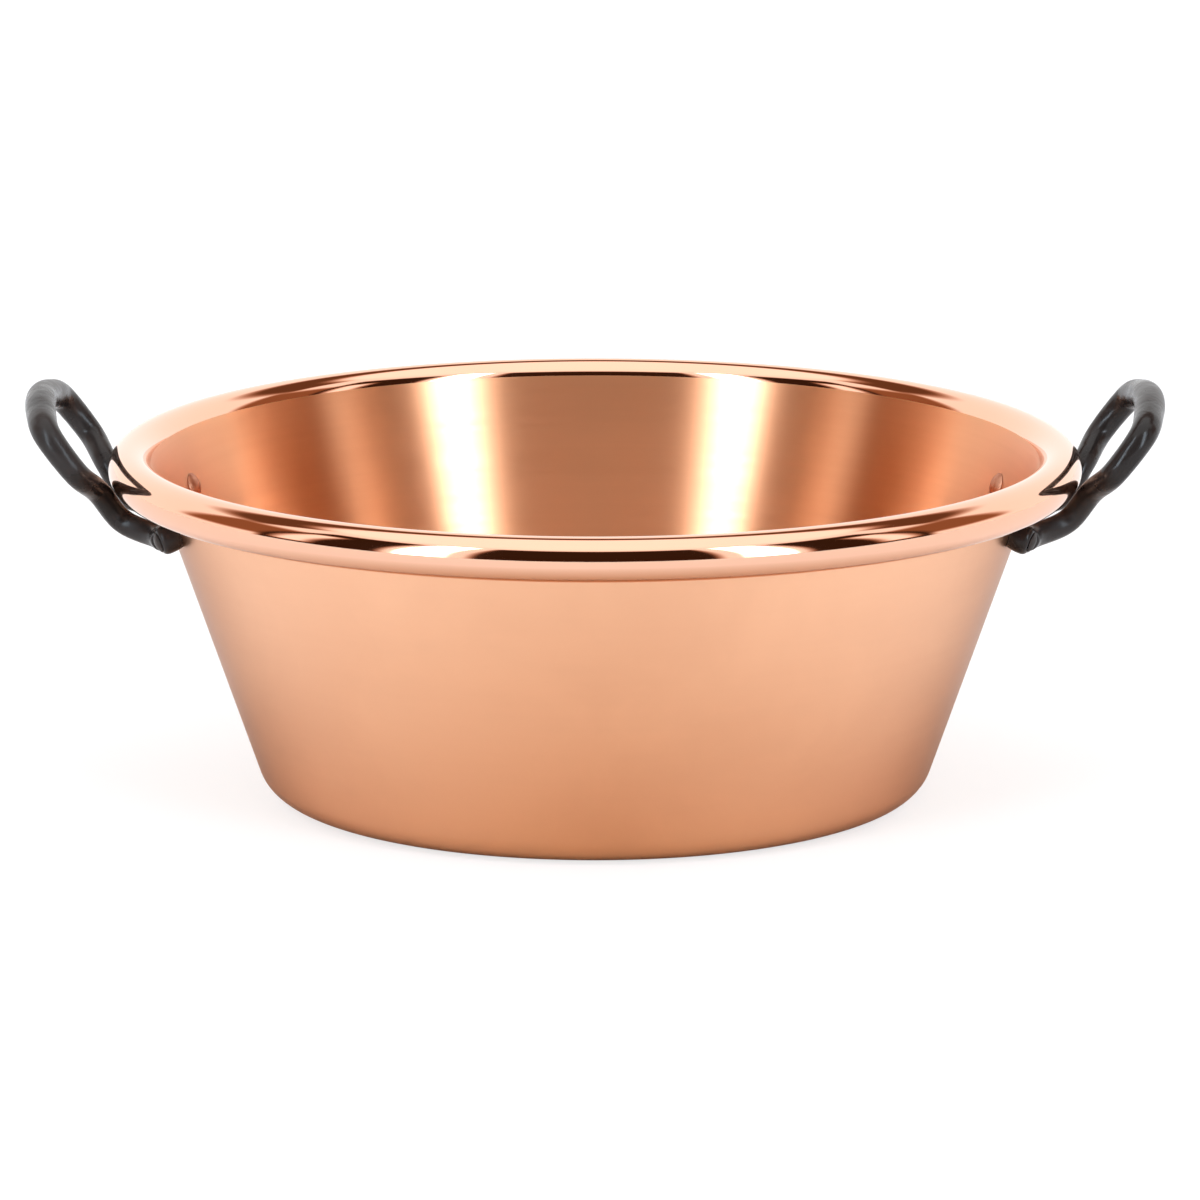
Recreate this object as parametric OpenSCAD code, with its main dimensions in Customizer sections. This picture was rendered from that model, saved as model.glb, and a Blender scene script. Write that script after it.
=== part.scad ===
// Wide preserving pan: spun copper bowl with a rolled rim and two riveted cast loop handles.
// Millimetres, +Z up, origin at the centre of the underside, handles along +X and -X.

/* [Bowl] */
// Overall diameter across the rolled rim
rim_diameter = 380; // [300:1:460]
// Height from the underside of the base to the top of the rim
pan_height = 138; // [110:1:170]
// Diameter of the flat part of the base
base_diameter = 236; // [190:1:270]
// Outside radius of the corner between base and wall
corner_radius = 15; // [8:0.5:25]
// Thickness of the copper sheet
sheet = 1.2; // [1:0.1:2]
// Diameter of the rolled rim
bead_diameter = 17; // [13:0.5:22]
// Gap between the edge of the roll and the wall it curls back to
roll_gap = 0.4; // [0.2:0.1:1]

/* [Handles] */
// How far the middle of the grip stands out past the rim
grip_reach = 26; // [20:0.5:34]
// How far the middle of the grip stands above the rim
grip_rise = 17; // [10:0.5:26]
// Width of the loop between the middles of its two sides
grip_width = 84; // [74:1:96]
// Width between the middles of the legs where they pass the rim
neck_width = 56; // [50:1:62]
// Width between the middles of the legs at their closest, under the rim
waist_width = 47; // [42:1:52]
// Distance between the two rivets of one handle
rivet_spacing = 94; // [84:1:104]
// Depth of the rivets below the top of the rim
rivet_drop = 27; // [24:0.5:32]
// Diameter of the bar in the middle of the grip
grip_thickness = 12; // [10:0.5:14]
// Diameter of the bar from the rim down to the feet
leg_thickness = 9.4; // [8:0.2:10.4]
// Gap between the legs and the rolled rim
rim_gap = 0.9; // [0.7:0.1:1.5]
// Gap between the legs and the wall beside the feet
wall_gap = 1.6; // [1:0.1:3]
// Diameter of the round foot that stands on the wall
foot_diameter = 11.4; // [11:0.2:14]
// Length of the foot from the wall to the seat of the rivet
foot_length = 8.2; // [7:0.2:10]

/* [Rivets] */
// Diameter of the rivet shank
shank_diameter = 5; // [4:0.1:6]
// Diameter of the domed head inside the bowl
head_diameter = 10.6; // [9:0.1:12]
// Height of the domed head
head_height = 2.2; // [1.5:0.1:3]
// Diameter of the hammered end outside the foot
tail_diameter = 8.4; // [7.6:0.1:9]
// Height of the hammered end
tail_height = 1.7; // [1:0.1:2.5]
// Gap all round the shank, and under the head, the foot and the hammered end
fit_gap = 0.05; // [0.02:0.01:0.1]

/* [Hidden] */
$fn = 96;
// Sides of the bar's round section, and sections from one knot of its middle line to the next
bar_sides = 20;
steps_per_span = 6;
// How far a cutter or a hidden end runs past the face it meets
over = 1;
// The straight wall sits this far inside the arcs it runs into, so that the outlines cross
tuck = 0.002;

// Where the legs pass the rolled rim: angles from level about its middle, beside it and under it
neck_angle = -24;
under_angle = -79;
// Under the rim the legs run further off, by this share of their radius
under_slack = 0.9;
// Shape of the loop: share of its height, and share of its half width there
loop_crown = [0.94, 0.52];
loop_shoulder = [0.78, 0.95];
loop_side = [0.32, 1];
// Bend above the foot: how far it sits below the foot, and inside it in leg thicknesses
ankle_drop = 1.6;
ankle_inset = 1.45;
// Past its own radius, the end of the bar stays this far off the wall
entry_slack = 0.6;
// Direction in which the bar runs into the foot: share of the last step, and turn to the wall
entry_run = 0.4;
entry_dip = 3;
// The bar thins from the top of the grip down to this knot, the neck
taper_knots = 4;
// Side of the section that the first row of faces looks to
side_way = [0.8, 0, 0.6];

// Bowl section: centres of the corner arc and of the rolled rim
base_r = base_diameter / 2;
bead_r = bead_diameter / 2;
roll_r = bead_r - sheet;
bead_x = rim_diameter / 2 - bead_r;
bead_z = pan_height - bead_r;

// Lean of the wall from upright: its outer face runs off the corner arc and into the roll
wall_drop = [bead_x - base_r, bead_z - corner_radius];
wall_shift = corner_radius + roll_r - 2 * tuck;
lean = atan2(wall_drop[0], wall_drop[1]) - asin(wall_shift / norm(wall_drop));
out_x = cos(lean);
out_z = -sin(lean);
wall_face = base_r * out_x + corner_radius * out_z + corner_radius - tuck;
roll_open = acos((roll_r - roll_gap) / bead_r);

// Radius of the outer face of the wall at height z
function wall_r(z) = (wall_face - z * out_z) / out_x;

// Rivet axis: point on the outer face of the wall and direction square to the wall
rivet_z = pan_height - rivet_drop;
rivet_turn = asin(rivet_spacing / 2 / wall_r(rivet_z));
rivet_x = wall_r(rivet_z) * cos(rivet_turn);
rivet_y = rivet_spacing / 2;
rivet_axis = [out_x * cos(rivet_turn), out_x * sin(rivet_turn), out_z];

// Seats of the rivet, measured along its axis from the outer face of the wall
head_dip = pow(head_diameter / 2, 2) / (2 * wall_r(rivet_z)) / out_x;
head_seat = sheet + head_dip + fit_gap;
tail_seat = foot_length + fit_gap;
hole_diameter = shank_diameter + 2 * fit_gap;

// Middle line of the bar: half of it, from the top of the grip to the foot
grip_r = grip_thickness / 2;
leg_r = leg_thickness / 2;
rim_pass = bead_r + rim_gap + leg_r;
under_pass = rim_pass + leg_r * under_slack;
wall_pass = leg_r + wall_gap;
foot_entry = leg_r + fit_gap + entry_slack;
grip_top = [rim_diameter / 2 + grip_reach, 0, pan_height + grip_rise];
neck = beside_rim(rim_pass, neck_angle, neck_width / 2);
under = beside_rim(under_pass, under_angle, waist_width / 2);
ankle_z = rivet_z + foot_entry * out_z - ankle_drop;
ankle_y = rivet_y - leg_thickness * ankle_inset;
ankle_r = wall_r(ankle_z) + wall_pass / out_x;
ankle = [sqrt(pow(ankle_r, 2) - pow(ankle_y, 2)), ankle_y, ankle_z];
foot = [rivet_x, rivet_y, rivet_z] + rivet_axis * foot_entry;
half_line = [
    grip_top,
    along_loop(loop_crown),
    along_loop(loop_shoulder),
    along_loop(loop_side),
    neck,
    under,
    ankle,
    foot,
];

// Point at distance d from the middle of the rolled rim, at angle a from level, at width y
function beside_rim(d, a, y) = [
    sqrt(pow(bead_x + d * cos(a), 2) - y * y), y, bead_z + d * sin(a)
];

// Point of the loop at a share of the way up from the neck and a share of its half width
function along_loop(share) = [
    neck[0] + share[0] * (grip_top[0] - neck[0]),
    share[1] * grip_width / 2,
    neck[2] + share[0] * (grip_top[2] - neck[2]),
];

// Whole middle line, front foot to back foot, with one guide point past each end
last = len(half_line) - 1;
front_line = [for (i = [last : -1 : 1]) flip_y(half_line[i])];
full_line = concat(front_line, half_line);
guide = foot + (foot - ankle) * entry_run - rivet_axis * entry_dip;
knots = concat([flip_y(guide)], full_line, [guide]);
spans = len(full_line) - 1;

function flip_y(p) = [p[0], -p[1], p[2]];

// Centripetal curve through the knots: position at share t of span k
function stride(a, b) = sqrt(norm(b - a));
function blend(a, b, ta, tb, t) = a * (tb - t) / (tb - ta) + b * (t - ta) / (tb - ta);
function curve(k, f) = curve_at(
    knots[k], knots[k + 1], knots[k + 2], knots[k + 3],
    stride(knots[k], knots[k + 1]), stride(knots[k + 1], knots[k + 2]), stride(knots[k + 2], knots[k + 3]), f
);
function curve_at(a, b, c, d, u, v, w, f) = curve_mix(a, b, c, d, u, u + v, u + v + w, u + f * v);
function curve_mix(a, b, c, d, t1, t2, t3, t) = blend(
    blend(blend(a, b, 0, t1, t), blend(b, c, t1, t2, t), 0, t2, t),
    blend(blend(b, c, t1, t2, t), blend(c, d, t2, t3, t), t1, t3, t),
    t1, t2, t
);

line = [for (i = [0 : spans * steps_per_span]) curve_of(i / steps_per_span)];
rings = len(line);
function curve_of(s) = curve(min(floor(s), spans - 1), s - min(floor(s), spans - 1));

// Direction of the middle line and radius of the bar at ring i
function heading(i) = unit(line[min(i + 1, rings - 1)] - line[max(i - 1, 0)]);
function unit(v) = v / norm(v);
function from_grip(i) = abs(i / (rings - 1) * 2 - 1) * last;
function ease(s) = s * s * (3 - 2 * s);
function bar_r(i) = leg_r + (grip_r - leg_r) * (1 - ease(min(from_grip(i) / taper_knots, 1)));

// Section of the bar at ring i, kept square to the line and turned to one fixed side direction
function ring(i) = ring_at(line[i], heading(i), bar_r(i));
function ring_at(p, h, r) = ring_in(p, unit(side_way - h * (side_way * h)), h, r);
function ring_in(p, a, h, r) = [
    for (s = [0 : bar_sides - 1])
        p + (a * cos(360 * s / bar_sides) + cross(h, a) * sin(360 * s / bar_sides)) * r
];
function idx(i, s) = i * bar_sides + s % bar_sides;

// Lays a child that stands along +Z onto the rivet axis, origin on the outer face of the wall
module on_rivet_axis() {
    translate([rivet_x, rivet_y, rivet_z])
        rotate([0, 0, rivet_turn])
            rotate([0, 90 + lean, 0])
                children();
}

// One sheet: flat base, corner arc, leaning wall and the rim rolled outward and under
module bowl_section() {
    corner_at = [base_r, corner_radius];
    bead_at = [bead_x, bead_z];
    outward = [out_x, out_z];
    upward = [-out_z, out_x];
    wall_top = bead_at - outward * (roll_r - tuck);
    wall_foot = corner_at + outward * (corner_radius - tuck);
    wall_mid = wall_top - upward * (roll_r - tuck) * tan(roll_open);
    inner_top = wall_top - outward * sheet;
    inner_foot = wall_foot - outward * sheet;
    inner_far = inner_top + upward * bead_diameter;
    difference() {
        union() {
            polygon([
                [0, 0], [base_r, 0], wall_foot, wall_mid, wall_top, inner_top, [0, inner_top[1]],
            ]);
            translate(corner_at)
                circle(r = corner_radius);
            translate(bead_at)
                circle(r = bead_r);
        }
        polygon([[0, sheet], [base_r, sheet], inner_foot, inner_far, [0, inner_far[1]]]);
        translate(corner_at)
            circle(r = corner_radius - sheet);
        translate(bead_at)
            circle(r = roll_r);
        polygon([bead_at, wall_mid, wall_top]);
    }
}

module bowl() {
    color([0.9, 0.58, 0.42])
        difference() {
            rotate_extrude()
                bowl_section();
            for (side = [0, 1])
                mirror([side, 0, 0])
                    for (end = [0, 1])
                        mirror([0, end, 0])
                            on_rivet_axis()
                                cylinder(d = hole_diameter, h = 2 * foot_length, center = true);
        }
}

// Tapering round bar swept along the middle line
module bar() {
    points = [for (i = [0 : rings - 1]) each ring(i)];
    sides = [
        for (i = [0 : rings - 2])
            for (s = [0 : bar_sides - 1])
                each [
                    [idx(i, s), idx(i + 1, s), idx(i, s + 1)],
                    [idx(i, s + 1), idx(i + 1, s), idx(i + 1, s + 1)],
                ]
    ];
    start_cap = [for (s = [0 : bar_sides - 1]) idx(0, s)];
    end_cap = [for (s = [bar_sides - 1 : -1 : 0]) idx(rings - 1, s)];
    polyhedron(points = points, faces = concat(sides, [start_cap, end_cap]));
}

// Cone that the feet stand on: the outer face of the wall, grown by the fit gap
module wall_cone() {
    low = rivet_z - 3 * foot_diameter;
    high = bead_z;
    rotate_extrude()
        polygon([
            [0, low],
            [wall_r(low) + fit_gap / out_x, low],
            [wall_r(high) + fit_gap / out_x, high],
            [0, high],
        ]);
}

module handle() {
    color([0.13, 0.12, 0.12])
        difference() {
            union() {
                bar();
                for (end = [0, 1])
                    mirror([0, end, 0])
                        on_rivet_axis()
                            translate([0, 0, -over])
                                cylinder(d = foot_diameter, h = foot_length + over);
            }
            wall_cone();
            for (end = [0, 1])
                mirror([0, end, 0])
                    on_rivet_axis() {
                        translate([0, 0, -over])
                            cylinder(d = hole_diameter, h = foot_length + 2 * over);
                        translate([0, 0, foot_length])
                            cylinder(d = foot_diameter + over, h = 2 * leg_thickness);
                    }
        }
}

// Domed button of the given width and height, flat side down
module dome(width, height) {
    ball_r = (width * width / 4 + height * height) / (2 * height);
    rotate_extrude()
        intersection() {
            translate([0, height - ball_r])
                circle(r = ball_r);
            square([width, height + over]);
        }
}

module rivet() {
    color([0.85, 0.5, 0.36])
        on_rivet_axis() {
            translate([0, 0, -head_seat])
                cylinder(d = shank_diameter, h = head_seat + tail_seat);
            translate([0, 0, -head_seat])
                mirror([0, 0, 1])
                    dome(head_diameter, head_height);
            translate([0, 0, tail_seat])
                dome(tail_diameter, tail_height);
        }
}

module right_handle() {
    handle();
}

module left_handle() {
    mirror([1, 0, 0])
        handle();
}

module right_back_rivet() {
    rivet();
}

module right_front_rivet() {
    mirror([0, 1, 0])
        rivet();
}

module left_back_rivet() {
    mirror([1, 0, 0])
        rivet();
}

module left_front_rivet() {
    mirror([1, 0, 0])
        mirror([0, 1, 0])
            rivet();
}

bowl();
left_handle();
right_handle();
left_front_rivet();
left_back_rivet();
right_front_rivet();
right_back_rivet();
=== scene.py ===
"""Copper preserving pan with a rolled rim and two riveted cast loop handles, in a plain studio."""

import math

import bpy
from bpy.props import FloatProperty, FloatVectorProperty, IntProperty, PointerProperty
from bpy.types import Operator, Panel, PropertyGroup
from mathutils import Matrix, Vector


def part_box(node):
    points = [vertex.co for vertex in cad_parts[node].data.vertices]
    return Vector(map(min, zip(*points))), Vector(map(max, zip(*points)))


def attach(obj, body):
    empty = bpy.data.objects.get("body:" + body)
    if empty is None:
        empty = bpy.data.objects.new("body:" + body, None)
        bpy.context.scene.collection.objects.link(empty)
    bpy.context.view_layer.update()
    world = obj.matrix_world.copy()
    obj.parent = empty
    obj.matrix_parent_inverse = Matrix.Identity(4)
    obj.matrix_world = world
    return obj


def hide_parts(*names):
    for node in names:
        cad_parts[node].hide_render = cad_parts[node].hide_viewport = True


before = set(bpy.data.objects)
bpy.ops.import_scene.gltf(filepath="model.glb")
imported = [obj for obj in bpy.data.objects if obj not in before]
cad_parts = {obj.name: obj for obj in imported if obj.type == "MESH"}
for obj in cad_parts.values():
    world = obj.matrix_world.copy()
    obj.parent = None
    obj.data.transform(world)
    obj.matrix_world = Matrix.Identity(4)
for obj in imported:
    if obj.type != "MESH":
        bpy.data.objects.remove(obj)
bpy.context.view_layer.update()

bl_info = {
    "name": "Copper preserving pan",
    "version": (1, 0, 0),
    "blender": (4, 5, 0),
    "location": "View3D > Sidebar > Pan",
    "description": "Builds the smooth bowl, cast handles and rivets over the pan's solids",
    "category": "Object",
}

BOWL_LOW, BOWL_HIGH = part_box("bowl")

# The handles and rivets are made once, at the right-hand side and behind, and mirrored from there
MIRROR_X = Matrix.Diagonal((-1, 1, 1, 1))
MIRROR_Y = Matrix.Diagonal((1, -1, 1, 1))
BACK_AND_FRONT = (Matrix.Identity(4), MIRROR_Y)

# Steps along the profile of the bowl, and the slots of its three coppers
CORNER_STEPS = 18
WALL_STEPS = 24
ROLL_STEPS = 96
OUTSIDE, INSIDE, RIM = range(3)
ROLL_MARGIN = 1.004  # a face counts as rolled rim up to this share of the roll's radius
FACING_UP = 0.02  # a face with more upward lean than this lies inside the bowl

# Path of a handle's bar, beside the sizes that a user would change. Lengths are in metres.
NECK_ANGLE = math.radians(-24)  # where the leg passes the rim, from level about the roll's middle
UNDER_ANGLE = math.radians(-79)  # where it turns in under the rim
UNDER_SLACK = 0.9  # under the rim the leg runs further off, by this share of its radius
# Crown, shoulder and side of the loop: share of its height, and share of its half width there
LOOP_KNOTS = ((0.94, 0.52), (0.78, 0.95), (0.32, 1))
ANKLE_DROP = 0.0016  # how far the bend above the foot sits below the foot
ANKLE_INSET = 1.45  # how far it sits inside the foot, in thicknesses of the leg
ENTRY_SLACK = 0.00065  # past its own radius, the end of the bar stays this far off the wall
ENTRY_RUN = 0.4  # direction in which the bar runs into the foot: share of the last step
ENTRY_DIP = 0.003  # and its turn to the wall
TAPER_KNOTS = 4  # the bar thins from the top of the grip down to this knot, the neck

# Casting of the handles
BAR_STATIONS = 14  # rings of the bar from one knot to the next
BAR_ROUNDNESS = 8  # bevel resolution of the bar
FOOT_SIDES = 48
FOOT_ROOT = 0.001  # the foot starts this far inside the wall, which is then cut away from it
FOOT_ROOT_EDGE = 0.4  # the foot is narrower there, by this share of its edge's rounding
# Side of the foot: share of the edge's rounding that it is narrower by, and share of its length
FOOT_SIDE = ((0.1, 0.25), (0, 0.55))
FOOT_EDGE_STEPS = 6
CAST_VOXEL = 0.0008  # joins bar and feet
FINE_VOXEL = 0.00055  # takes in the seats of the rivets
SMOOTHING_SHARE = 0.5
SMOOTHING_ROUNDS = 24
SMOOTHING_LOSS = 0.00015  # radius that bar and feet lose when their surface is smoothed
WALL_CUTTER_SIDES = 720
SEAT_MARGIN = 0.0005  # a seat is cut this much wider than the foot
SEAT_CUT = 0.019  # and clears the casting above it this far
HOLE_MARGIN = 0.002  # the holes are cut this far past the foot at both ends

# Rivets
RIVET_SIDES = 64  # of the rivets, and of the tools that cut their seats and holes
HEAD_STEPS = 14
TAIL_STEPS = 12
RIVET_EDGE = 0.00018  # rounding between shank and head

# Surfaces
QUARTER_TURN = 0.25  # turns the drawn-out shine of the copper so that it runs up and down
IRON_ROUGHNESS = (0.2, 0.34)
RIVET_ROUGHNESS = (0.36, 0.5)
WORN = 1.8  # worn patches of the iron are lighter by this much
SPOTS_FINER = 26.0  # the small spots of the patina are this much finer than its clouds
MARKS_SLANT = 0.9  # share of the radius in the marks' course, so that they cross the base as well
AXIS_MARGIN = 0.001  # keeps the marks from dividing by nothing at the middle of the base
BANDS_STRETCH = (0.7, 0.7, 0.12)  # the bands are wider than the fine marks by this much
NODES_A_ROW = 6
NODE_SPACING = (190, 260)

# Floor and backdrop. The camera sees them plain and white, with the shadow of the pan. The copper
# reflects a floor with painted shade close to it: the floor is darker and warmer there, standing in
# for the pan's shadow on the floor and the copper's light bounced onto it.
FLOOR_SIZE = 40
FLOOR_GAP = 0.0002
PAINTED_SHADE_AHEAD = 0.09  # the middle of the painted shade patch lies this far in front of the pan's middle
PAINTED_SHADE_FROM, PAINTED_SHADE_TO = 0.03, 0.29  # distances from there over which it fades
SEEN_SHADED = 0.34  # part of the seen floor that takes the shadow
SEEN_GLOW = 0.7  # part of it that doesn't

# Ends of a zone of light that lie past the last angle, so that no soft edge shows there
FRONT, BACK = -9, 190
BELOW, ABOVE = -99, 99


def length(name, description, default):
    return FloatProperty(
        name=name, description=description, default=default, min=0.0, subtype="DISTANCE",
        unit="LENGTH",
    )


def colour(name, description, default):
    return FloatVectorProperty(
        name=name, description=description, default=default, size=3, min=0.0, max=1.0,
        subtype="COLOR",
    )


def light(name, description, default):
    return FloatProperty(name=name, description=description, default=default, min=0.0)


class BowlSizes(PropertyGroup):
    rim: length("Rim", "Width over the rolled rim", BOWL_HIGH.x - BOWL_LOW.x)
    height: length("Height", "From the base to the top of the rim", BOWL_HIGH.z - BOWL_LOW.z)
    base: length("Base", "Width of the flat part of the base", 0.236)
    corner: length("Corner", "Outside radius between base and wall", 0.015)
    sheet: length("Sheet", "Thickness of the copper", 0.0012)
    roll: length("Rolled rim", "Thickness of the rolled rim", 0.017)
    roll_gap: length("Roll gap", "Gap between the edge of the roll and the wall", 0.0004)
    sides: IntProperty(name="Steps round", description="Faces round the bowl", default=320, min=24)


class HandleSizes(PropertyGroup):
    reach: length("Reach", "How far the grip stands out past the rim", 0.026)
    rise: length("Rise", "How far the grip stands above the rim", 0.017)
    width: length("Width", "Width between the middles of the loop's sides", 0.084)
    neck: length("Neck", "Width between the legs where they pass the rim", 0.056)
    waist: length("Waist", "Width between the legs under the rim", 0.047)
    rivets: length("Rivet spacing", "Distance between the rivets of one handle", 0.094)
    drop: length("Rivet drop", "Depth of the rivets below the rim", 0.027)
    grip: length("Grip", "Diameter of the bar in the middle of the grip", 0.012)
    leg: length("Leg", "Diameter of the bar from the rim down", 0.0094)
    rim_gap: length("Rim gap", "Gap between leg and rim where the leg passes it", 0.0009)
    wall_gap: length("Wall gap", "Gap between leg and wall beside the foot", 0.0016)
    foot: length("Foot", "Diameter of the round foot", 0.0114)
    foot_length: length("Foot length", "From the wall to the seat of the rivet", 0.0082)
    foot_edge: length("Foot edge", "Rounding of the foot's outer edge", 0.0019)


class RivetSizes(PropertyGroup):
    shank: length("Shank", "Diameter of the shank", 0.005)
    head: length("Head", "Diameter of the head inside the bowl", 0.0106)
    head_height: length("Head height", "Height of the head", 0.0022)
    tail: length("Tail", "Diameter of the hammered end", 0.0084)
    tail_height: length("Tail height", "Height of the hammered end", 0.0017)
    gap: length("Fit", "Gap all round each rivet and under each foot", 0.00005)


class Finish(PropertyGroup):
    outside: colour("Outside copper", "Satin copper of the outer wall", (0.99, 0.58, 0.375))
    inside: colour("Inside copper", "Turned copper of the inner wall", (0.93, 0.48, 0.26))
    rim: colour("Rim copper", "Polished copper of the rolled rim", (0.885, 0.515, 0.36))
    shade: colour("Tarnish", "Colour that the copper dulls towards", (0.62, 0.30, 0.19))
    iron: colour("Cast iron", "Black of the handles", (0.015, 0.0115, 0.0105))
    black: colour("Blackened copper", "Ends of the rivets on the iron", (0.035, 0.022, 0.018))
    rivet: colour("Rivet copper", "Copper of the rivets", (0.45, 0.165, 0.09))
    floor: colour("Floor", "Floor and backdrop", (0.94, 0.94, 0.94))
    # Painted shade: a darker, copper-warm floor colour close to the pan, seen only in reflections
    floor_painted_shade: colour("Floor painted shade", "Floor close to the copper", (0.55, 0.42, 0.285))


class Studio(PropertyGroup):
    distance: length("Camera distance", "From the camera to the pan", 3.0)
    elevation: FloatProperty(
        name="Camera height", description="Angle above level", default=math.radians(12.22),
        subtype="ANGLE",
    )
    aim: FloatVectorProperty(
        name="Aim", description="Point in the middle of the picture",
        default=(0.0019, 0.0, 0.075), size=3, subtype="XYZ", unit="LENGTH",
    )
    lens: FloatProperty(
        name="Lens", description="Focal length in millimetres", default=229.4, min=10.0
    )
    level: light("Light", "Level of the soft light all round", 1.27)
    ceiling: light("Ceiling", "Level of the light overhead", 1.55)
    panel: light("Panels", "Level of the two soft panels in front", 12.5)
    dark: light("Dark", "Level of the unlit room between the panels", 0.04)
    room: colour("Room", "Colour of the unlit room", (1.0, 0.42, 0.2))
    daylight: colour("Daylight", "Colour of the two soft panels", (0.72, 0.87, 1.0))


def on_arc(centre, radius, angle):
    return centre + radius * Vector((math.cos(angle), math.sin(angle)))


def spread(start, end, steps, first=0):
    """Even steps from start to end; a first step of 1 leaves out the start."""
    return [start + (end - start) * i / steps for i in range(first, steps + 1)]


class WallLine:
    """Where the leaning wall runs, worked out from the bowl's sizes as tangents to its two arcs."""

    def __init__(self, bowl):
        self.corner_at = Vector((bowl.base / 2, bowl.corner))
        self.roll_r = bowl.roll / 2
        self.roll_in = self.roll_r - bowl.sheet
        self.roll_at = Vector((bowl.rim / 2 - self.roll_r, bowl.height - self.roll_r))
        across = self.roll_at - self.corner_at
        turn = math.asin((bowl.corner + self.roll_in) / across.length)
        self.lean = math.atan2(across.x, across.y) - turn
        self.out = Vector((math.cos(self.lean), -math.sin(self.lean)))
        self.face = self.out.dot(self.corner_at) + bowl.corner
        self.roll_open = math.acos((self.roll_in - bowl.roll_gap) / self.roll_r)

    def radius(self, z):
        return (self.face - z * self.out.y) / self.out.x


class HandleLine:
    """Middle line of one handle's bar and the axis of its rivets, at the right-hand side."""

    def __init__(self, bowl, sizes):
        wall = WallLine(bowl)
        self.wall = wall
        self.leg_r, self.grip_r = sizes.leg / 2, sizes.grip / 2
        z = bowl.height - sizes.drop
        self.turn = math.asin(sizes.rivets / 2 / wall.radius(z))
        aside = (math.cos(self.turn), math.sin(self.turn))
        self.rivet_at = Vector((wall.radius(z) * aside[0], sizes.rivets / 2, z))
        self.axis = Vector((wall.out.x * aside[0], wall.out.x * aside[1], wall.out.y))
        passing = wall.roll_r + sizes.rim_gap + self.leg_r
        neck = self.beside_rim(passing, NECK_ANGLE, sizes.neck / 2)
        under = self.beside_rim(passing + self.leg_r * UNDER_SLACK, UNDER_ANGLE, sizes.waist / 2)
        entry = self.leg_r + ENTRY_SLACK
        foot = self.rivet_at + self.axis * entry
        ankle_z = z + entry * wall.out.y - ANKLE_DROP
        ankle_y = sizes.rivets / 2 - sizes.leg * ANKLE_INSET
        ankle_r = wall.radius(ankle_z) + (self.leg_r + sizes.wall_gap) / wall.out.x
        ankle = Vector((math.sqrt(ankle_r**2 - ankle_y**2), ankle_y, ankle_z))
        top = Vector((bowl.rim / 2 + sizes.reach, 0, bowl.height + sizes.rise))

        def on_loop(up, wide):
            x = neck.x + up * (top.x - neck.x)
            return Vector((x, wide * sizes.width / 2, neck.z + up * (top.z - neck.z)))

        half = [*(on_loop(*knot) for knot in LOOP_KNOTS), neck, under, ankle, foot]
        front = [Vector((p.x, -p.y, p.z)) for p in reversed(half)]
        guide = foot + (foot - ankle) * ENTRY_RUN - self.axis * ENTRY_DIP
        self.knots = [Vector((guide.x, -guide.y, guide.z)), *front, top, *half, guide]
        self.spans = len(self.knots) - 3

    def beside_rim(self, distance, angle, y):
        at = on_arc(self.wall.roll_at, distance, angle)
        return Vector((math.sqrt(at.x**2 - y**2), y, at.y))

    def point(self, s):
        """Point of the smooth curve through the knots, s knots from the front foot."""
        k = min(int(s), self.spans - 1)
        a, b, c, d = self.knots[k : k + 4]
        t1 = (b - a).length ** 0.5
        t2 = t1 + (c - b).length ** 0.5
        t3 = t2 + (d - c).length ** 0.5
        t = t1 + (s - k) * (t2 - t1)

        def mix(p, q, low, high):
            return p * ((high - t) / (high - low)) + q * ((t - low) / (high - low))

        ab, bc, cd = mix(a, b, 0, t1), mix(b, c, t1, t2), mix(c, d, t2, t3)
        return mix(mix(ab, bc, 0, t2), mix(bc, cd, t1, t3), t1, t2)

    def radius(self, s):
        share = min(abs(s / self.spans * 2 - 1) * self.spans / 2 / TAPER_KNOTS, 1)
        return self.leg_r + (self.grip_r - self.leg_r) * (1 - share * share * (3 - 2 * share))

    def rivet_frame(self):
        """Stands a piece made along +Z onto the back rivet's axis, base on the wall's face."""
        tilt = Matrix.Rotation(math.radians(90) + self.wall.lean, 4, "Y")
        turn = Matrix.Rotation(self.turn, 4, "Z") @ tilt
        return Matrix.Translation(self.rivet_at) @ turn


def clear_selection():
    if bpy.context.object and bpy.context.object.mode != "OBJECT":
        bpy.ops.object.mode_set(mode="OBJECT")
    bpy.ops.object.select_all(action="DESELECT")


def pick(obj):
    clear_selection()
    obj.select_set(True)
    bpy.context.view_layer.objects.active = obj


def apply_modifier(obj, kind, **settings):
    pick(obj)
    modifier = obj.modifiers.new(kind.title(), kind)
    for key, value in settings.items():
        setattr(modifier, key, value)
    bpy.ops.object.modifier_apply(modifier=modifier.name)


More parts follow.
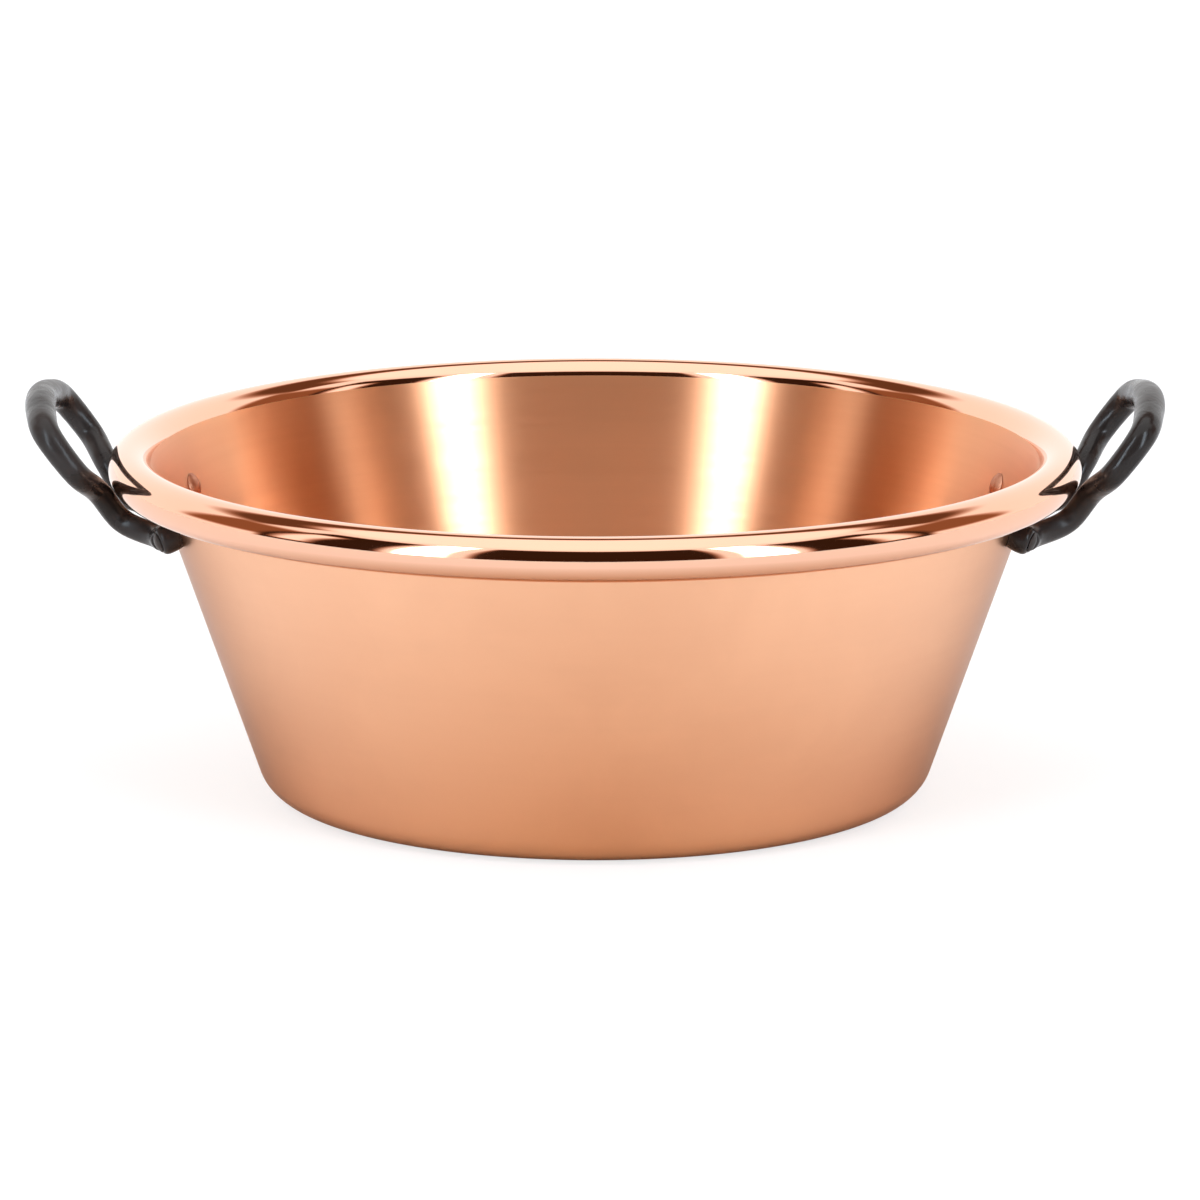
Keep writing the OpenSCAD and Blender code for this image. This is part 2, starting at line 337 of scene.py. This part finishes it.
def turn_profile(name, rings, sides, close_end=True):
    """A ring is added, then extruded, scaled and lifted along the rings' (radius, height)."""
    clear_selection()
    radius, z = rings[0]
    bpy.ops.mesh.primitive_circle_add(
        vertices=sides, radius=radius, fill_type="NOTHING", location=(0, 0, 0)
    )
    obj = bpy.context.object
    obj.name = obj.data.name = name
    bpy.ops.object.mode_set(mode="EDIT")
    bpy.ops.mesh.select_all(action="SELECT")
    bpy.ops.transform.translate(value=(0, 0, z))
    for new_radius, new_z in rings[1:]:
        bpy.ops.mesh.extrude_region_move(TRANSFORM_OT_translate={"value": (0, 0, new_z - z)})
        share = new_radius / radius
        bpy.ops.transform.resize(value=(share, share, 1), center_override=(0, 0, new_z))
        radius, z = new_radius, new_z
    if close_end:
        bpy.ops.mesh.edge_face_add()
    bpy.ops.mesh.select_all(action="DESELECT")
    bpy.ops.object.mode_set(mode="OBJECT")
    for vertex in obj.data.vertices[:sides]:
        vertex.select = True
    bpy.ops.object.mode_set(mode="EDIT")
    bpy.ops.mesh.select_mode(type="VERT")
    bpy.ops.mesh.edge_face_add()
    bpy.ops.mesh.select_all(action="SELECT")
    bpy.ops.mesh.normals_make_consistent(inside=False)
    bpy.ops.object.mode_set(mode="OBJECT")
    return obj


def flip_faces(obj):
    pick(obj)
    bpy.ops.object.mode_set(mode="EDIT")
    bpy.ops.mesh.select_all(action="SELECT")
    bpy.ops.mesh.flip_normals()
    bpy.ops.object.mode_set(mode="OBJECT")


def place_mesh(obj, matrix):
    """Puts the mesh at its place, with its faces outwards and its object at the origin."""
    obj.data.transform(matrix)
    obj.matrix_world = Matrix.Identity(4)
    if matrix.determinant() < 0:
        flip_faces(obj)


def own_copy(obj, name, matrix):
    pick(obj)
    bpy.ops.object.duplicate(linked=False)
    twin = bpy.context.object
    twin.name = twin.data.name = name
    place_mesh(twin, matrix)
    return twin


def join(obj, other):
    pick(obj)
    other.select_set(True)
    bpy.ops.object.join()


def cut(obj, tools):
    for tool in tools:
        apply_modifier(obj, "BOOLEAN", operation="DIFFERENCE", solver="EXACT", object=tool)
        bpy.data.objects.remove(tool)


def smooth(obj, degrees):
    """Shades smooth wherever two faces meet at less than this angle."""
    pick(obj)
    bpy.ops.object.shade_smooth_by_angle(angle=math.radians(degrees))


def hand_over(obj, materials, node):
    for material in materials:
        obj.data.materials.append(material)
    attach(obj, "root")
    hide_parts(node)


class Nodes:
    """Short way to lay out nodes in one tree."""

    def __init__(self, tree):
        self.tree = tree
        self.count = 0

    def add(self, kind, values=(), **settings):
        node = self.tree.nodes.new(kind)
        row, column = divmod(self.count, NODES_A_ROW)
        node.location = (column * NODE_SPACING[0], -row * NODE_SPACING[1])
        self.count += 1
        for key, value in settings.items():
            setattr(node, key, value)
        for key, value in dict(values).items():
            self.feed(node.inputs[key], value)
        return node

    def feed(self, socket, value):
        if isinstance(value, bpy.types.NodeSocket):
            self.tree.links.new(value, socket)
        elif isinstance(value, bpy.types.Node):
            self.tree.links.new(value.outputs[0], socket)
        else:
            socket.default_value = value

    def math(self, operation, a, b=0.0, c=0.0):
        return self.add("ShaderNodeMath", {0: a, 1: b, 2: c}, operation=operation)

    def ramp(self, value, low, high, out_low=0.0, out_high=1.0):
        return self.add(
            "ShaderNodeMapRange", {0: value, 1: low, 2: high, 3: out_low, 4: out_high},
            interpolation_type="SMOOTHSTEP",
        )

    def mix(self, share, a, b):
        """Mix of two colours, which are sockets 6 and 7 of the node and its output 2."""
        node = self.add("ShaderNodeMix", data_type="RGBA")
        self.feed(node.inputs[0], share)
        self.feed(node.inputs[6], a)
        self.feed(node.inputs[7], b)
        return node.outputs[2]

    def shared(self, name, make, place, **values):
        """One of the shared effects, made when it is first asked for, with its own values."""
        tree = bpy.data.node_groups.get(name) or make(name)
        return self.add("ShaderNodeGroup", {"Place": place, **values}, node_tree=tree)

    def for_camera(self, lit, seen):
        """The shader seen shows to the camera alone, and lit to the rest of the scene."""
        path = self.add("ShaderNodeLightPath")
        return self.add("ShaderNodeMixShader", {0: path.outputs["Is Camera Ray"], 1: lit, 2: seen})


def empty_nodes(owner):
    """Cleared node tree of a material or a world."""
    owner.use_nodes = True
    owner.node_tree.nodes.clear()
    return Nodes(owner.node_tree)


def new_group(name, inputs, outputs):
    group = bpy.data.node_groups.new(name, "ShaderNodeTree")
    for kind, label, default in inputs:
        socket = group.interface.new_socket(label, in_out="INPUT", socket_type=kind)
        if default is not None:
            socket.default_value = default
    for kind, label in outputs:
        group.interface.new_socket(label, in_out="OUTPUT", socket_type=kind)
    nodes = Nodes(group)
    return group, nodes, nodes.add("NodeGroupInput"), nodes.add("NodeGroupOutput")


def turned_marks_group(name):
    """Fine marks left by turning: they run round the axis and change quickly along the profile."""
    group, n, given, out = new_group(
        name,
        [
            ("NodeSocketVector", "Place", None),
            ("NodeSocketFloat", "Fineness", 900.0),
            ("NodeSocketFloat", "Length", 1.6),
        ],
        [("NodeSocketFloat", "Marks"), ("NodeSocketFloat", "Bands")],
    )
    x, y, z = n.add("ShaderNodeSeparateXYZ", {0: given.outputs["Place"]}).outputs
    radius = n.math("SQRT", n.math("MULTIPLY_ADD", x, x, n.math("MULTIPLY", y, y)))
    safe = n.math("MAXIMUM", radius, AXIS_MARGIN)
    along = n.math("SUBTRACT", z, n.math("MULTIPLY", radius, MARKS_SLANT))
    reach = given.outputs["Length"]
    spot = n.add("ShaderNodeCombineXYZ", {
        0: n.math("MULTIPLY", n.math("DIVIDE", x, safe), reach),
        1: n.math("MULTIPLY", n.math("DIVIDE", y, safe), reach),
        2: n.math("MULTIPLY", along, given.outputs["Fineness"]),
    })
    fine = n.add(
        "ShaderNodeTexNoise", {"Vector": spot, "Scale": 1.0, "Detail": 1.0, "Roughness": 0.5}
    )
    wide_spot = n.add("ShaderNodeVectorMath", {0: spot, 1: BANDS_STRETCH}, operation="MULTIPLY")
    wide = n.add(
        "ShaderNodeTexNoise", {"Vector": wide_spot, "Scale": 1.0, "Detail": 2.0, "Roughness": 0.5}
    )
    n.feed(out.inputs["Marks"], fine.outputs[0])
    n.feed(out.inputs["Bands"], wide.outputs[0])
    return group


def patina_group(name):
    """Soft clouds of duller metal with small spots in them."""
    group, n, given, out = new_group(
        name,
        [
            ("NodeSocketVector", "Place", None),
            ("NodeSocketFloat", "Size", 14.0),
            ("NodeSocketFloat", "Spots", 0.3),
        ],
        [("NodeSocketFloat", "Clouds"), ("NodeSocketFloat", "Specks")],
    )
    place, size = given.outputs["Place"], given.outputs["Size"]
    clouds = n.add("ShaderNodeTexNoise", {
        "Vector": place, "Scale": size, "Detail": 4.0, "Roughness": 0.55, "Distortion": 0.4,
    })
    spots = n.add("ShaderNodeTexNoise", {
        "Vector": place, "Scale": n.math("MULTIPLY", size, SPOTS_FINER), "Detail": 2.0,
    })
    specks = n.math("MULTIPLY", n.ramp(spots.outputs[0], 0.62, 0.74), given.outputs["Spots"])
    n.feed(out.inputs["Clouds"], n.ramp(clouds.outputs[0], 0.35, 0.68))
    n.feed(out.inputs["Specks"], specks)
    return group


def start_material(name):
    material = bpy.data.materials.new(name)
    n = empty_nodes(material)
    shader = n.add("ShaderNodeBsdfPrincipled")
    n.feed(n.add("ShaderNodeOutputMaterial").inputs[0], shader)
    place = n.add("ShaderNodeTexCoord").outputs["Object"]
    return material, n, shader, place


def copper(name, metal, tarnish, *, roughness, across, marks, fineness, play, edge, dull):
    """Copper with turned marks: colour and gloss follow the clouds, bands and fine marks.

    The shine is drawn out across the marks by across. Marks and fineness are the strength of the
    marks and their number to the metre, play is how far they change the gloss, edge is the tint of
    a slanting look at the metal, and dull is the strength of the clouds.
    """
    material, n, shader, place = start_material(name)
    turned = n.shared("Turned marks", turned_marks_group, place, Fineness=fineness)
    patina = n.shared("Patina", patina_group, place)
    clouds = n.math("MULTIPLY", patina.outputs["Clouds"], dull)
    clouded = n.mix(clouds, (*metal, 1), (*tarnish, 1))
    both = n.math("ADD", turned.outputs["Bands"], turned.outputs["Marks"])
    lines = n.math("MULTIPLY", both, marks)
    n.feed(shader.inputs["Base Color"], n.mix(lines, clouded, (*tarnish, 1)))
    shader.inputs["Specular Tint"].default_value = (*edge, 1)
    least, most = roughness * (1 - play), roughness * (1 + play)
    n.feed(shader.inputs["Roughness"], n.ramp(turned.outputs["Marks"], 0.25, 0.75, least, most))
    shader.inputs["Metallic"].default_value = 1.0
    shader.inputs["Anisotropic"].default_value = across
    shader.inputs["Anisotropic Rotation"].default_value = QUARTER_TURN
    tangent = n.add("ShaderNodeTangent", direction_type="RADIAL", axis="Z")
    n.feed(shader.inputs["Tangent"], tangent)
    return material


def cast_iron(name, black):
    """Black cast iron, smooth from handling, with a fine sand grain and faint worn patches."""
    material, n, shader, place = start_material(name)
    patina = n.shared("Patina", patina_group, place, Size=45.0, Spots=0.05)
    worn = tuple(c * WORN for c in black)
    n.feed(shader.inputs["Base Color"], n.mix(patina.outputs["Clouds"], (*black, 1), (*worn, 1)))
    gloss = n.ramp(patina.outputs["Clouds"], 0, 1, *IRON_ROUGHNESS)
    n.feed(shader.inputs["Roughness"], n.math("ADD", gloss, patina.outputs["Specks"]))
    shader.inputs["Metallic"].default_value = 0.0
    shader.inputs["Specular IOR Level"].default_value = 0.24
    sand = n.add("ShaderNodeTexNoise", {"Vector": place, "Scale": 700.0, "Detail": 3.0})
    lumps = n.add("ShaderNodeTexNoise", {"Vector": place, "Scale": 90.0, "Detail": 2.0})
    height = n.math("MULTIPLY_ADD", lumps.outputs[0], 30.0, sand.outputs[0])
    bump = n.add("ShaderNodeBump", {"Height": height, "Distance": 0.00002})
    n.feed(shader.inputs["Normal"], bump)
    return material


def hammered_copper(name, metal, tarnish, shine=1.0):
    """Plain copper of the rivets, with the small flats left by the hammer."""
    material, n, shader, place = start_material(name)
    patina = n.shared("Patina", patina_group, place, Size=240.0)
    clouds = patina.outputs["Clouds"]
    n.feed(shader.inputs["Base Color"], n.mix(clouds, (*metal, 1), (*tarnish, 1)))
    n.feed(shader.inputs["Roughness"], n.ramp(clouds, 0, 1, *RIVET_ROUGHNESS))
    shader.inputs["Metallic"].default_value = shine
    flats = n.add("ShaderNodeTexVoronoi", {"Vector": place, "Scale": 700.0}, feature="SMOOTH_F1")
    bump = n.add("ShaderNodeBump", {"Height": flats.outputs[0], "Distance": 0.00012})
    n.feed(shader.inputs["Normal"], bump)
    return material


class PAN_OT_bowl(Operator):
    """Turn the copper sheet: base, corner, wall and rolled rim"""

    bl_idname = "pan.bowl"
    bl_label = "Bowl"

    def execute(self, context):
        sizes = context.scene.pan_bowl
        wall = WallLine(sizes)
        rings = [tuple(p) for p in self.profile(sizes, wall)]
        bowl = turn_profile("bowl_sheet", rings, sizes.sides, close_end=False)
        self.face_down(bowl)
        apply_modifier(bowl, "SOLIDIFY", thickness=sizes.sheet, offset=-1.0, use_even_offset=True)
        smooth(bowl, degrees=35)
        hand_over(bowl, self.coppers(context.scene.pan_finish), "bowl")
        self.share_out(bowl, wall)
        return {"FINISHED"}

    def profile(self, sizes, wall):
        """Outer face of the sheet, from the edge of the base to the free edge inside the roll."""
        turns = spread(math.radians(-90), -wall.lean, CORNER_STEPS)
        corner = [on_arc(wall.corner_at, sizes.corner, a) for a in turns]
        low, high = corner[-1], wall.roll_at - wall.out * wall.roll_in
        straight = [low + (high - low) * s for s in spread(0, 1, WALL_STEPS, 1)]
        start = math.radians(180) - wall.lean
        end = start - math.radians(360) + wall.roll_open
        roll = [on_arc(wall.roll_at, wall.roll_in, a) for a in spread(start, end, ROLL_STEPS, 1)]
        return corner + straight + roll

    def face_down(self, bowl):
        """The underside of the base looks down, so that the sheet's thickness grows inwards."""
        base = max(bowl.data.polygons, key=lambda face: face.area)
        if base.normal.z > 0:
            flip_faces(bowl)

    def coppers(self, finish):
        """The three finishes of the sheet, in the order of OUTSIDE, INSIDE and RIM."""
        return [
            copper(
                "Satin copper", finish.outside, finish.shade, roughness=0.32, across=0.4,
                marks=0.03, fineness=500.0, play=0.03, edge=(0.5, 0.5, 0.52), dull=0.12,
            ),
            copper(
                "Turned copper", finish.inside, finish.shade, roughness=0.345, across=1.0,
                marks=0.12, fineness=700.0, play=0.05, edge=(1.0, 1.0, 1.0), dull=0.06,
            ),
            copper(
                "Polished copper", finish.rim, finish.shade, roughness=0.05, across=0.0,
                marks=0.03, fineness=500.0, play=0.1, edge=(1.0, 1.0, 1.0), dull=0.05,
            ),
        ]

    def share_out(self, bowl, wall):
        """Satin outside, turned inside, polished on the roll."""
        for face in bowl.data.polygons:
            at = Vector((math.hypot(face.center.x, face.center.y), face.center.z))
            if (at - wall.roll_at).length < wall.roll_r * ROLL_MARGIN:
                face.material_index = RIM
            elif face.normal.z > FACING_UP:
                face.material_index = INSIDE
            else:
                face.material_index = OUTSIDE


class PAN_OT_handles(Operator):
    """Cast both handles: a tapering bar on its path, with a round foot at each end"""

    bl_idname = "pan.handles"
    bl_label = "Handles"

    def execute(self, context):
        scene = context.scene
        bowl, sizes = scene.pan_bowl, scene.pan_handle
        line = HandleLine(bowl, sizes)
        handle = self.bar(line)
        for side in BACK_AND_FRONT:
            join(handle, self.foot(line, sizes, side))
        apply_modifier(handle, "REMESH", mode="VOXEL", voxel_size=CAST_VOXEL)
        cut(handle, self.seats(line, sizes))
        apply_modifier(handle, "REMESH", mode="VOXEL", voxel_size=FINE_VOXEL)
        apply_modifier(handle, "SMOOTH", factor=SMOOTHING_SHARE, iterations=SMOOTHING_ROUNDS)
        cut(handle, self.wall_and_holes(line, bowl, sizes, scene.pan_rivet))
        handle.name = handle.data.name = "right_cast_handle"
        smooth(handle, degrees=32)
        left = own_copy(handle, "left_cast_handle", MIRROR_X)
        iron = cast_iron("Black cast iron", scene.pan_finish.iron)
        hand_over(handle, [iron], "right_handle")
        hand_over(left, [iron], "left_handle")
        return {"FINISHED"}

    def bar(self, line):
        clear_selection()
        bpy.ops.curve.primitive_nurbs_path_add(location=(0, 0, 0))
        bar = bpy.context.object
        bar.data.splines.clear()
        spline = bar.data.splines.new("POLY")
        stations = spread(0, line.spans, line.spans * BAR_STATIONS)
        spline.points.add(len(stations) - 1)
        for point, s in zip(spline.points, stations, strict=True):
            point.co = (*line.point(s), 1)
            point.radius = (line.radius(s) + SMOOTHING_LOSS) / line.leg_r
        bar.data.bevel_depth = line.leg_r
        bar.data.bevel_resolution = BAR_ROUNDNESS
        bar.data.use_fill_caps = True
        pick(bar)
        bpy.ops.object.convert(target="MESH")
        return bpy.context.object

    def foot(self, line, sizes, side):
        r, end = sizes.foot / 2 + SMOOTHING_LOSS, sizes.foot_length
        edge = sizes.foot_edge
        rings = [(r - edge * FOOT_ROOT_EDGE, -FOOT_ROOT)]
        rings += [(r - edge * narrower, end * share) for narrower, share in FOOT_SIDE]
        edge_at = Vector((r - edge, end - edge))
        turns = spread(0, math.radians(90), FOOT_EDGE_STEPS, 1)
        rings += [tuple(on_arc(edge_at, edge, a)) for a in turns]
        foot = turn_profile("foot", rings, FOOT_SIDES)
        place_mesh(foot, side @ line.rivet_frame())
        return foot

    def both_rivets(self, line, name, rings):
        """The same cutter on the axis of the back and of the front rivet."""
        tools = []
        for side in BACK_AND_FRONT:
            tool = turn_profile(name, rings, RIVET_SIDES)
            place_mesh(tool, side @ line.rivet_frame())
            tools.append(tool)
        return tools

    def seats(self, line, sizes):
        """Flat seats for the hammered ends; the smoothing that follows rounds their edges."""
        wide, low = sizes.foot / 2 + SEAT_MARGIN, sizes.foot_length
        return self.both_rivets(line, "seat_cutter", [(wide, low), (wide, low + SEAT_CUT)])

    def wall_and_holes(self, line, bowl, sizes, rivet):
        """The wall that the feet stand on, and the holes of the rivets."""
        wall = line.wall
        low, high = bowl.height - sizes.drop * 2, wall.roll_at.y
        grown = rivet.gap / wall.out.x
        face = [(wall.radius(z) + grown, z) for z in (low, high)]
        cone = turn_profile("wall_cutter", face, WALL_CUTTER_SIDES)
        hole = rivet.shank / 2 + rivet.gap
        ends = [(hole, -HOLE_MARGIN), (hole, sizes.foot_length + HOLE_MARGIN)]
        return [cone, *self.both_rivets(line, "hole_cutter", ends)]


class PAN_OT_rivets(Operator):
    """Set the four rivets: domed head inside, shank through wall and foot, hammered end outside"""

    bl_idname = "pan.rivets"
    bl_label = "Rivets"

    def execute(self, context):
        scene = context.scene
        sizes, finish = scene.pan_rivet, scene.pan_finish
        line = HandleLine(scene.pan_bowl, scene.pan_handle)
        dip = (sizes.head / 2) ** 2 / (2 * line.wall.radius(line.rivet_at.z)) / line.wall.out.x
        head_seat = scene.pan_bowl.sheet + dip + sizes.gap
        tail_seat = scene.pan_handle.foot_length + sizes.gap
        rivet = self.rivet(sizes, head_seat, tail_seat)
        for face in rivet.data.polygons:
            face.material_index = 1 if face.center.z > tail_seat - sizes.gap else 0
        metals = [
            hammered_copper("Hammered copper", finish.rivet, finish.shade),
            hammered_copper("Blackened copper", finish.black, finish.iron, 0.5),
        ]
        place = line.rivet_frame()
        for name, matrix in (
            ("right_back", place),
            ("right_front", MIRROR_Y @ place),
            ("left_back", MIRROR_X @ place),
            ("left_front", MIRROR_X @ MIRROR_Y @ place),
        ):
            twin = own_copy(rivet, name + "_copper_rivet", matrix)
            hand_over(twin, metals, name + "_rivet")
        bpy.data.objects.remove(rivet)
        return {"FINISHED"}

    def rivet(self, sizes, head_seat, tail_seat):
        shank = sizes.shank / 2
        head = self.dome(sizes.head, sizes.head_height, HEAD_STEPS)
        tail = self.dome(sizes.tail, sizes.tail_height, TAIL_STEPS)
        rings = [(r, -head_seat - h) for r, h in head]
        rings += [(shank, -head_seat), (shank, tail_seat)]
        rings += [(r, tail_seat + h) for r, h in reversed(tail)]
        rivet = turn_profile("rivet", rings, RIVET_SIDES)
        apply_modifier(
            rivet, "BEVEL", width=RIVET_EDGE, segments=3, limit_method="ANGLE",
            angle_limit=math.radians(50),
        )
        smooth(rivet, degrees=40)
        return rivet

    def dome(self, width, height, steps):
        """Rings from just off the dome's top to its edge, as (radius, height above the seat)."""
        ball = (width * width / 4 + height * height) / (2 * height)
        edge = math.asin(width / 2 / ball)
        return [
            (ball * math.sin(edge * s), height - ball * (1 - math.cos(edge * s)))
            for s in spread(0, 1, steps, 1)
        ]


class PAN_OT_studio(Operator):
    """Lay the pale floor, hang the soft lights and set the camera"""

    bl_idname = "pan.studio"
    bl_label = "Studio"

    def execute(self, context):
        scene = context.scene
        self.floor(scene)
        self.tent(scene)
        self.camera(scene)
        scene.view_settings.view_transform = "Standard"
        return {"FINISHED"}

    def floor(self, scene):
        clear_selection()
        bpy.ops.mesh.primitive_plane_add(size=FLOOR_SIZE, location=(0, 0, -FLOOR_GAP))
        floor = bpy.context.object
        floor.name = "floor"
        material = bpy.data.materials.new("Pale floor")
        n = empty_nodes(material)
        place = n.add("ShaderNodeTexCoord").outputs["Object"]
        # Painted shade: for all but camera rays, the floor fades from a darker warm tone close to
        # the pan to the plain floor colour. It stands in for the pan's shadow and the copper light
        # bounced onto the floor.
        ahead = n.add("ShaderNodeVectorMath", {0: place, 1: (0.0, PAINTED_SHADE_AHEAD, 0.0)}, operation="ADD")
        way = n.add("ShaderNodeVectorMath", {0: ahead}, operation="LENGTH").outputs["Value"]
        out_of_painted_shade = n.add("ShaderNodeMapRange", {0: way, 1: PAINTED_SHADE_FROM, 2: PAINTED_SHADE_TO})
        tone = n.mix(out_of_painted_shade, (*scene.pan_finish.floor_painted_shade, 1), (*scene.pan_finish.floor, 1))
        lit = n.add("ShaderNodeBsdfDiffuse", {"Color": tone})
        shaded = n.add("ShaderNodeBsdfDiffuse", {"Color": (*[SEEN_SHADED] * 3, 1)})
        glow = n.add("ShaderNodeEmission", {"Color": (1, 1, 1, 1), "Strength": SEEN_GLOW})
        seen = n.add("ShaderNodeAddShader", {0: shaded, 1: glow})
        n.feed(n.add("ShaderNodeOutputMaterial").inputs[0], n.for_camera(lit, seen))
        floor.data.materials.append(material)

    def zones(self, studio):
        """Zones of the tent, each laid over the ones before it.

        Each has its angles round from the camera's side, which are the same to the left and the
        right, its angles above level and half of its soft edge, all in degrees. Then come the
        strength and the tint of its light.
        """
        level, dark = studio.level, studio.dark
        return (
            # behind the camera, where the back of the inner wall looks
            ((FRONT, 29), (BELOW, 51), 2, dark, "room"),
            # beside the handles, where the ends of the inner wall look
            ((82, 112), (8, 40), 4, dark * 8, "room"),
            # past the panels, with a pale strip in it
            ((51, 85), (BELOW, 50), 2, dark, "room"),
            ((70.5, 80), (5, 40), 3, level * 1.15, "white"),
            # behind the pan, where the top of the rim looks
            ((105, BACK), (40, 56), 4, dark * 4, "room"),
            # the two soft panels
            ((35.5, 46.5), (BELOW, 52), 2, studio.panel, "daylight"),
            # the ceiling
            ((FRONT, BACK), (57, ABOVE), 3, studio.ceiling, "white"),
        )

    def between(self, n, value, low, high, soft):
        """Mask that is 1 between the two angles and 0 outside them, with a soft edge at both."""
        low_from, low_to, high_from, high_to = (
            math.radians(a) for a in (low - soft, low + soft, high - soft, high + soft)
        )
        rise = n.ramp(value, low_from, low_to)
        fall = n.ramp(value, high_from, high_to, 1.0, 0.0)
        return n.math("MULTIPLY", rise, fall)

    def tent(self, scene):
        """World as a white tent: dark behind the camera and at each side, bright panels between."""
        studio = scene.pan_studio
        world = bpy.data.worlds.new("Studio tent")
        scene.world = world
        n = empty_nodes(world)
        way = n.add("ShaderNodeSeparateXYZ", {0: n.add("ShaderNodeTexCoord").outputs["Generated"]})
        x, y, z = way.outputs
        side = n.math("ABSOLUTE", n.math("ARCTAN2", x, n.math("MULTIPLY", y, -1.0)))
        height = n.math("ARCSINE", z)
        level, shade, glow = studio.level, 0.0, 0.0
        for sides, heights, soft, strength, tint in self.zones(studio):
            across = self.between(n, side, *sides, soft)
            zone = n.math("MULTIPLY", across, self.between(n, height, *heights, soft))
            level = n.math("MULTIPLY_ADD", zone, n.math("SUBTRACT", strength, level), level)
            unlit = 1.0 if tint == "room" else 0.0
            shade = n.math("MULTIPLY_ADD", zone, n.math("SUBTRACT", unlit, shade), shade)
            if tint == "daylight":
                glow = zone
        tone = n.mix(shade, (1, 1, 1, 1), (*studio.room, 1))
        tone = n.mix(glow, tone, (*studio.daylight, 1))
        lamp = n.add("ShaderNodeBackground", {"Color": tone, "Strength": level})
        white = n.add("ShaderNodeBackground", {"Color": (1, 1, 1, 1), "Strength": 1.0})
        n.feed(n.add("ShaderNodeOutputWorld").inputs[0], n.for_camera(lamp, white))

    def camera(self, scene):
        studio = scene.pan_studio
        clear_selection()
        back = Vector((0, -math.cos(studio.elevation), math.sin(studio.elevation)))
        bpy.ops.object.camera_add(location=Vector(studio.aim) + back * studio.distance)
        camera = bpy.context.object
        camera.rotation_mode = "QUATERNION"
        camera.rotation_quaternion = (-back).to_track_quat("-Z", "Y")
        camera.data.sensor_width = 36
        camera.data.lens = studio.lens
        camera.data.clip_end = 100
        scene.camera = camera


class PAN_PT_parts(Panel):
    """Sizes, finishes and the operators that build each part"""

    bl_idname = "PAN_PT_parts"
    bl_label = "Preserving pan"
    bl_space_type = "VIEW_3D"
    bl_region_type = "UI"
    bl_category = "Pan"

    def draw(self, context):
        for group, operator in (
            ("pan_bowl", "pan.bowl"),
            ("pan_handle", "pan.handles"),
            ("pan_rivet", "pan.rivets"),
            ("pan_finish", None),
            ("pan_studio", "pan.studio"),
        ):
            box = self.layout.box()
            settings = getattr(context.scene, group)
            for key in settings.__annotations__:
                box.prop(settings, key)
            if operator:
                box.operator(operator)


GROUPS = {
    "pan_bowl": BowlSizes,
    "pan_handle": HandleSizes,
    "pan_rivet": RivetSizes,
    "pan_finish": Finish,
    "pan_studio": Studio,
}
OPERATORS = (PAN_OT_bowl, PAN_OT_handles, PAN_OT_rivets, PAN_OT_studio)


def register():
    for name, group in GROUPS.items():
        bpy.utils.register_class(group)
        setattr(bpy.types.Scene, name, PointerProperty(type=group))
    for cls in (*OPERATORS, PAN_PT_parts):
        bpy.utils.register_class(cls)


def unregister():
    for cls in (PAN_PT_parts, *reversed(OPERATORS)):
        bpy.utils.unregister_class(cls)
    for name, group in reversed(GROUPS.items()):
        delattr(bpy.types.Scene, name)
        bpy.utils.unregister_class(group)


def main():
    register()
    bpy.ops.pan.studio()
    bpy.ops.pan.bowl()
    bpy.ops.pan.handles()
    bpy.ops.pan.rivets()


if __name__ == "__main__":
    main()
